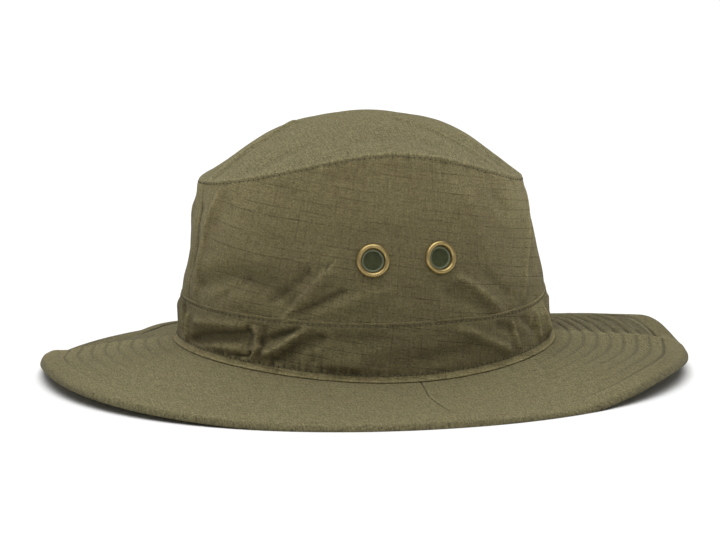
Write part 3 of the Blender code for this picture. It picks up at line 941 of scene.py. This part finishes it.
DULL_BRASS = metal_material("dull_brass", (0.42, 0.30, 0.13), (0.18, 0.13, 0.06), 0.4, 1.0)
SCREEN_RING = metal_material("screen_ring", (0.168, 0.187, 0.108), (0.105, 0.12, 0.074), 0.42, 0.2, 0.7)
WIRE = metal_material("wire", (0.112, 0.128, 0.050), (0.062, 0.076, 0.033), 0.55, 0.0, 0.7)


def ready(piece, slot, *nodes):
    """A piece rides on the hat and stands for CAD nodes, which it hides. Its slot is not used."""
    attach(piece, "root")
    if nodes:
        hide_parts(*nodes)


# The crown


def make_walls():
    columns, rows = 520, 124
    for side, start, end in (("left", -90, 90), ("right", 90, 270)):
        theta = np.radians(np.linspace(start + 0.04, end - 0.04, columns))
        low, high = band_height(theta) - WALL_BELOW_BAND, top_height(theta) - 0.1
        z = low + (high - low) * np.linspace(0, 1, rows)[:, None]
        theta = np.broadcast_to(theta, z.shape)
        keep, angle, height = np.ones(z.shape, bool), theta.copy(), z.copy()
        for _, at, middle in VENTS.values():
            across, up = turn_between(theta, at) * VENT_RADIUS, z - middle
            distance = np.hypot(across, up)
            keep &= distance > VENT_HOLE
            # Close to a hole, the grid's points are drawn in to its round edge.
            at_rim = (distance > VENT_HOLE) & (distance < 8.1)
            pull = np.where(at_rim, (7.1 - distance) * (8.1 - distance) / 1.2, 0)
            grow = pull / np.maximum(distance, 1e-6)
            angle += across * grow / VENT_RADIUS
            height += up * grow
        whole = keep.copy()
        whole[:-1, :-1] &= keep[1:, :-1] & keep[:-1, 1:] & keep[1:, 1:]
        points = wall(angle, height)
        # Painted light: the wall is lighter towards its top, towards its front and back ends and on its back
        # half.
        painted_wall_light = 0.86 + 0.34 * step(height, 50, 112)
        painted_wall_light *= 1 + 0.17 * step(np.abs(np.sin(angle)), 0.7, 0.97)
        painted_wall_light *= 1 + 0.14 * step(np.sin(angle), 0.3, 0.8)
        tone = painted_cavity_shade(points, False, 0.17) * painted_wall_light
        uv = wall_uv(angle, height, 8)
        piece = grid_piece(f"wall_{side}", points, uv, RIPSTOP, 0.55, False, tone, whole)
        ready(piece, "olive_ripstop", f"side_wall_{side}")


def close_middle(piece, ring):
    """Closes the small hole inside a piece's innermost ring of points."""
    mesh = bmesh.new()
    mesh.from_mesh(piece.data)
    middle = Vector(ring.mean(0) * MM)
    edges = [e for e in mesh.edges if e.is_boundary and (e.verts[0].co - middle).length < 0.006]
    bmesh.ops.holes_fill(mesh, edges=edges, sides=0)
    bmesh.ops.recalc_face_normals(mesh, faces=mesh.faces)
    mesh.to_mesh(piece.data)
    mesh.free()
    piece.data.shade_smooth()


def make_tip():
    theta = full_turn(640)
    high = top_height(theta)
    allowance = ((2.8, -5.5), (2.3, -1.4), (1.35, -0.35), (1.08, -0.35), (0.93, -0.2), (0.86, 0.1))
    rows = [crown(theta, high + lift, inset) for inset, lift in allowance]
    shares = np.append(np.linspace(0.012, 0.88, 84), np.linspace(0.89, 0.985, 12))[::-1]
    points = np.stack(rows + [tip(theta, share) for share in shares])
    tone = painted_cavity_shade(points, True, 0.17)
    piece = grid_piece("crown_tip", points, flat_uv(points, True), CANVAS, 0.5, True, tone)
    close_middle(piece, points[-1])
    ready(piece, "olive_canvas", "crown_top")


def make_band():
    theta = full_turn(1100)
    low, high = seam_height(theta), band_height(theta)
    rows = [crown(theta, low + 1.2, 1.1), crown(theta, low + BAND_FOOT, 0.6)]
    rows += [band(theta, share) for share in np.linspace(0, 1, 56)]
    behind = crown(theta, high, WALL_INSET)
    lip = (rows[-1] + behind) / 2
    lip[:, 2] = rows[-1][:, 2] + 0.12
    behind[:, 2] -= 0.8
    points = np.stack(rows + [lip, behind])
    heights = wrap(points)[..., 2]
    uv = wall_uv(np.broadcast_to(np.append(theta, 2 * math.pi), heights.shape), heights, 9)
    rise, back = points[..., 2] - low, np.sin(theta)
    # Painted light: the strip at the band's foot is lighter, less so at the back, with some random change
    # along it.
    painted_strip_light = 1.46 - 0.4 * step(back, 0.45, 0.9) + 0.14 * noise(along(theta) / 4.5, seed=25)
    strip = painted_strip_light - (painted_strip_light - 1) * step(rise, 2.7, 3.3)
    # Painted shade and light on the band by angle: darkest at its sides, a little lighter at the front and
    # lightest at the back.
    cloth = 0.78 + 0.28 * step(back, 0.4, 0.95) + 0.2 * step(back, 0.72, 0.9) + 0.07 * step(-back, 0.6, 0.85)
    lip_shade = 1 - 0.14 * step(rise, high - low - 0.5, high - low)
    hollows = 1 - 0.07 * folds(theta, points[..., 2], BAND_SHADE)
    tone = painted_cavity_shade(points, True, 0.27) * strip * cloth * lip_shade * hollows
    piece = grid_piece("hat_band_cloth", points, uv, RIPSTOP, 0.35, True, tone)
    ready(piece, "olive_ripstop", "hat_band")


# The brim


def brim_panel(name, upper, count, steps):
    """The angles, distances and points of half of the brim's upper or lower cloth."""
    inner = np.linspace(-1.4, BRIM_WIDTH - EDGE_ROLL - 0.2, steps)
    inner = np.sort(np.append(inner, ROWS[0] + np.array([-0.45, -0.15, 0.15, 0.45])))
    outer = BRIM_WIDTH - EDGE_ROLL + EDGE_ROLL * np.sin(np.linspace(0.12, 1, 9) * math.pi / 2)
    d = np.append(inner, outer)[:, None]
    if upper:
        d = d[::-1]
    gap, seam = 0.03 * (1 - step(d, 48, 58)), side_seam(d)
    start, end = (seam, 180 - seam) if name == "back" else (180 - seam, 360 + seam)
    theta = np.radians(start + gap + (end - start - 2 * gap) * np.linspace(0, 1, count))
    across = np.broadcast_to(d, theta.shape)
    return theta, across, brim(theta, across, upper)


def painted_brim_shade(theta, d):
    """Painted shade on the upper brim by place: darker past the two creases, along the rows there and at the
    edge.
    """
    back, deep = back_panel(theta, -1.5, 7, 45), quilting(theta)
    front = (1 - step(degrees_from(theta, -106), -5, 1)) * step(degrees_from(theta, -160), -15, 15)
    front *= turn_between(theta, math.radians(-108)) > -1
    in_rows = step(d, 2, 6) * (1 - step(d, ROWS[0] - 0.6, ROWS[0]))
    valley = 1 - np.sin(math.pi * ((d - ROWS[-1]) / ROW_PITCH % 1) ** 0.7)
    tone = (1 - (0.41 - 0.16 * step(d, 59, 62)) * back) * (1 - 0.5 * back * valley * in_rows)
    tone *= (1 - 0.28 * front) * (1 - 0.2 * near_to(theta, 62, 18)) * (1 - 0.15 * near_to(theta, -88, 13))
    for row in ROWS[1:]:
        tone *= 1 - 0.19 * step(deep, 0.2, 0.8) * (1 - back) * bell(d - row, 1.1)
    panel, crease = np.maximum(back, front), near_to(theta, 56, 20)
    hem_line = np.maximum(np.maximum(panel, 0.7 * crease), step(deep, 0.45, 0.8))
    line_width = 0.45 + 0.6 * panel + 0.45 * crease
    tone *= 1 - (0.55 + 0.27 * panel) * hem_line * bell(d - ROWS[0] - 0.4 * panel, line_width)
    return tone * (1 - 0.3 * step(d, 69.2, 72.2))


def make_brim():
    for name in ("front", "back"):
        for upper, count, steps in ((True, 760, 118), (False, 300, 60)):
            theta, d, points = brim_panel(name, upper, count, steps)
            tone = painted_cavity_shade(points, False, 0.13)
            if upper:
                tone *= painted_brim_shade(theta, d)
                piece_name, look, rests = f"brim_top_{name}", CANVAS, []
                nodes = [f"brim_upper_{name}", f"brim_stiffener_{name}"]
            else:
                piece_name, look, rests = f"brim_under_{name}", CANVAS_UNDER, ["floor"]
                nodes = [f"brim_lower_{name}"]
            # Painted shade along the side seams' edges, fading out between 46 and 62 millimetres from the
            # crown.
            tone[:, [0, -1]] *= 0.4 + 0.6 * step(d[:, :1], 46, 62)
            piece = grid_piece(piece_name, points, flat_uv(points, False), look, 0.5, False, tone)
            ready(piece, "olive_canvas", *nodes)


def make_threads():
    theta = full_turn(720)
    deep = quilting(theta).clip(0, 1)
    upper, lower = [], []
    for i, row in enumerate(ROWS):
        p, n = surface_line(lambda a, d: brim(a, d, True), theta, np.full_like(theta, row))
        n *= np.sign(n[0, 2])
        p -= 0.15 * (1 - deep)[:, None] * n
        upper.append(stitches(p, n, 3.1, 2.8, 0.15, seed=100 + i, hole=0.95 - 0.45 * deep))
        p, n = surface_line(lambda a, d: brim(a, d, False), theta, np.full_like(theta, row))
        lower.append(stitches(p, -n * np.sign(n[0, 2]), 3.1, 2.9, 0.2, seed=200 + i))
    ready(joined_piece("brim_thread_top", upper, PALE_THREAD), "olive_canvas")
    ready(joined_piece("brim_thread_under", lower, PALE_THREAD), "olive_canvas")

    p, n = surface_line(wall, theta, top_height(theta) - SEAM_ROW)
    rows = [stitches(p, n, 2.95, 2.85, 0.13, seed=301, hole=0.34, flare=4.8)]
    for side in (90, 270):
        angle = np.full(160, math.radians(side) + END_ROW / END_RADIUS)
        z = np.linspace(band_height(angle[0]) - 1, top_height(angle[0]) - 2, 160)
        p, n = surface_line(wall, angle, z)
        rows.append(stitches(p, n, 3.0, 2.85, 0.24, closed=False, seed=302 + side))
    ready(joined_piece("crown_thread", rows, THREAD), "olive_ripstop")

    rows = []
    width = band_height(theta) - seam_height(theta) - BAND_FOOT
    for place, seed in ((1 - TOP_ROW / width, 401), (FOOT_ROW / width, 402)):
        p, n = surface_line(band, theta, place, rise=0.02)
        rows.append(stitches(p, n, 2.9, 2.8, 0.13, seed=seed, hole=0.12, flare=4.4))
    ready(joined_piece("band_thread", rows, THREAD), "olive_ripstop")


# The inside


def sweatband_line(theta, share, further_in):
    """A line round the sweatband, a share of the way up it, and further in than its outer face."""
    ripple = 0.5 * noise(along(theta) / 16, seed=51)
    inset = SWEAT_INSET + 0.35 * math.sin(math.pi * share) + ripple * share**2
    return crown(theta, seam_height(theta) - 0.2 + share * SWEAT_HEIGHT, inset + further_in)


def strip_on_crown(node, degrees, radius, columns, rows, margin):
    """The angles and heights of a grid over a narrow CAD node at an end of the crown."""
    low, high = node_box(node)
    half = (high[0] - low[0]) / 2 / radius
    angle = math.radians(degrees) + np.linspace(-half, half, columns)
    return np.meshgrid(angle, np.linspace(low[2] + margin, high[2] - margin, rows))


def make_inside():
    theta = full_turn(420)
    shares = np.linspace(0, 1, 20)
    points = np.stack([sweatband_line(theta, share, -0.25 * bell(share - 0.93, 0.02)) for share in shares])
    piece = grid_piece("sweatband_cloth", points, metric_uv(points, True), TWILL, SWEAT_THICK, True)
    ready(piece, "sweatband_twill", "sweatband")

    high = top_height(theta)
    rows = []
    for share in np.linspace(0, 1, 9):
        rows.append(crown(theta, high - 13.4 + 10.8 * share, TAPE_INSET + 0.15 * math.sin(math.pi * share)))
    points = np.stack(rows)
    piece = grid_piece("crown_tape", points, metric_uv(points, True), TAPE, TAPE_THICK, True)
    ready(piece, "seam_tape", "crown_seam_tape")

    for name, degrees in (("front", 270), ("back", 90)):
        angle, z = strip_on_crown(f"{name}_seam_tape", degrees, END_RADIUS, 13, 60, 1)
        points = crown(angle, z, 2.35 + 0.12 * noise(np.stack([angle * 20, z / 9, z * 0], -1), seed=61))
        piece = grid_piece(f"{name}_tape", points, metric_uv(points, False), TAPE, TAPE_THICK)
        ready(piece, "seam_tape", f"{name}_seam_tape")

    angle, z = strip_on_crown("size_label", 90, 96, 60, 30, 0.3)
    points = crown(angle, z, 5.2 + 0.1 * noise(np.stack([angle * 60, z / 5, z * 0], -1), seed=71))
    piece = grid_piece("blank_label", points, metric_uv(points, False), LABEL, 0.4)
    ready(piece, "label", "size_label")

    inward = -oval(theta, CROWN_LENGTH, CROWN_WIDTH)[1]
    lines = [sweatband_line(theta, share, SWEAT_THICK) for share in (0.93, 0.1)]
    lines += [crown(theta, high + lift, TAPE_INSET + TAPE_THICK) for lift in (-3.6, -12.4)]
    rows = [stitches(line, inward, 3.0, 2.1, 0.18, seed=501 + i) for i, line in enumerate(lines)]
    ready(joined_piece("inside_thread", rows, THREAD), "seam_tape")


# The vents


def make_vents():
    half_turn = np.linspace(0, math.pi, 15)
    crest = [(6.05 + 1.28 * (1 - math.cos(a)), 0.35 + 1.35 * math.sin(a)) for a in half_turn]
    clinch = [(8.66, 0.05), (8.5, -0.2), (6.5, -0.2), (6.5, -2.3), (7.3, -2.45), (7.3, -2.9)]
    eyelet = [(6.0, -2.9), (6.0, -0.6)] + crest + clinch
    washer = rounded([(6.75, -1.35), (8.3, -1.35), (8.3, -1.8), (6.75, -1.8)], 0.2)
    ring = rounded([(4.75, -0.35), (5.9, -0.15), (5.9, -2.6), (4.75, -2.6)], 0.35)
    for number, (name, (axis, theta, z)) in enumerate(VENTS.items()):
        spot = crown(np.array([theta]), z, WALL_INSET)[0]
        piece = lathe(f"vent_eyelet_{name}", eyelet, spot, axis, BRASS, 80, 0.035, number)
        ready(piece, "antique_brass", f"eyelet_{name}")
        piece = lathe(f"vent_washer_{name}", washer, spot, axis, DULL_BRASS, 56)
        ready(piece, "antique_brass", f"washer_{name}")
        piece = lathe(f"vent_ring_{name}", ring, spot, axis, SCREEN_RING, 64)
        ready(piece, "green_mesh")
        piece = wire_screen(f"vent_wire_{name}", 4.95, 0.58, 0.16, -0.95, spot, axis, WIRE)
        ready(piece, "green_mesh", f"vent_screen_{name}")


# The stage. The camera looks at a point across and above the middle of the crown's seam.
CAMERA_AZIMUTH = 73.95
CAMERA_ELEVATION = 9.2
CAMERA_DISTANCE = 1250.0
CAMERA_LENS = 115.67
LOOK_ACROSS = -2.69
LOOK_HEIGHT = 32.12
FLOOR_REACH = 14000.0
SUN_SPREAD = 60
SUN_STRENGTH = 1.75


def aim(name, data, back, location):
    """Puts a camera or a lamp in the scene, looking the opposite way to back."""
    made = bpy.data.objects.new(name, data)
    made.location = location
    made.rotation_euler = back.to_track_quat("Z", "Y").to_euler()
    bpy.context.scene.collection.objects.link(made)
    return made


def make_camera():
    az, el = math.radians(CAMERA_AZIMUTH), math.radians(CAMERA_ELEVATION)
    back = Vector((math.sin(az) * math.cos(el), -math.cos(az) * math.cos(el), math.sin(el)))
    right = Vector((math.cos(az), math.sin(az), 0))
    target = right * LOOK_ACROSS + Vector((0, 0, SEAM_Z + LOOK_HEIGHT))
    data = bpy.data.cameras.new("camera")
    data.lens = CAMERA_LENS
    data.sensor_width = 36
    data.clip_start = 0.02
    data.clip_end = 100
    bpy.context.scene.camera = aim("camera", data, back, (target + back * CAMERA_DISTANCE) * MM)


def soft_sun(name, azimuth, tilt):
    """A very wide overhead light, as from a ceiling of soft boxes, tilted off the vertical."""
    light = bpy.data.lights.new(name, "SUN")
    light.angle = math.radians(SUN_SPREAD)
    light.energy = SUN_STRENGTH
    az, away = math.radians(azimuth), math.radians(tilt)
    back = Vector((math.cos(az) * math.sin(away), math.sin(az) * math.sin(away), math.cos(away)))
    aim(name, light, back, back * 2)


def make_stage():
    corners = np.array([(-1, -1, 0), (1, -1, 0), (1, 1, 0), (-1, 1, 0)]) * FLOOR_REACH
    paper = Nodes("paper")
    paper.put(paper.shader, {"Base Color": (0.9, 0.9, 0.9, 1), "Roughness": 0.9, "Specular IOR Level": 0.1})
    floor = make_mesh("floor", corners, [[0, 1, 2, 3]], material=paper.material, smooth=False)

    world = bpy.data.worlds.new("studio")
    world.use_nodes = True
    background = world.node_tree.nodes["Background"]
    background.inputs["Color"].default_value = (1, 1, 1, 1)
    background.inputs["Strength"].default_value = 0.2
    scene = bpy.context.scene
    scene.world = world
    soft_sun("front_boxes", CAMERA_AZIMUTH - 90, 20)
    soft_sun("back_boxes", CAMERA_AZIMUTH + 90, 24)
    scene.view_settings.view_transform = "Standard"
    scene.view_settings.look = "None"
    scene.view_settings.exposure = 0
    scene.view_settings.gamma = 1


make_camera()
make_stage()
make_walls()
make_tip()
make_band()
make_brim()
make_threads()
make_inside()
make_vents()
